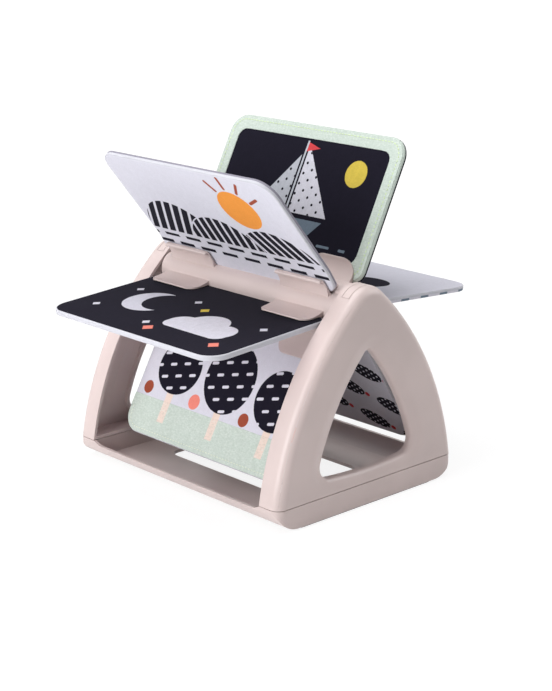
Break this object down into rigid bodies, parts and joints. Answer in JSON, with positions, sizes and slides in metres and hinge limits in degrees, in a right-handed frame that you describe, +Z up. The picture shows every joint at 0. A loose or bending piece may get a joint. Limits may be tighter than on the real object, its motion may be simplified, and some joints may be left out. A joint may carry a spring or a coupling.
{
  "type": "spinning activity book",
  "caption": "Tabletop spinning activity book: fabric pages clipped round a drum that turns between two rounded triangular side frames on a shallow tray base.",
  "frame": {"origin": "middle of the footprint on the table, under the foot strips", "axes": "+X along the spindle, -Y towards the reader, +Z up"},
  "size_m": [0.26, 0.3037, 0.2966],
  "materials": {
    "blush_plastic": "satin moulded",
    "inner_plastic": "matte",
    "bush_plastic": "smooth",
    "foot_rubber": "matte",
    "screw_steel": "plain",
    "page_fabric": "fine printed cloth",
    "sage_felt": "brushed felt with stitching"
  },
  "bodies": {
    "frame": {"base_tray": "blush_plastic", "base_screws": "screw_steel", "foot_strip_left": "foot_rubber", "side_shell_left": "blush_plastic", "bearing_bush_left": "bush_plastic", "axle_cap_left": "blush_plastic", "foot_strip_right": "foot_rubber", "side_shell_right": "blush_plastic", "bearing_bush_right": "bush_plastic", "axle_cap_right": "blush_plastic"},
    "rotor": {"drum_core": "inner_plastic", "end_hub_left": "blush_plastic", "end_hub_right": "blush_plastic", "clamp_panel_1": "blush_plastic", "page_1": "page_fabric", "clamp_panel_2": "blush_plastic", "page_2": "page_fabric", "clamp_panel_3": "blush_plastic", "page_3": "sage_felt", "clamp_panel_4": "blush_plastic", "page_4": "page_fabric", "clamp_panel_5": "blush_plastic", "page_5": "page_fabric", "clamp_panel_6": "blush_plastic", "page_6": "page_fabric", "felt_frame": "sage_felt", "felt_band": "sage_felt"}
  },
  "joints": [
    {"name": "rotor_spin", "type": "hinge", "parent": "frame", "child": "rotor", "pos_m": [0, 0, 0.1593], "axis": [1, 0, 0], "continuous": true}
  ]
}
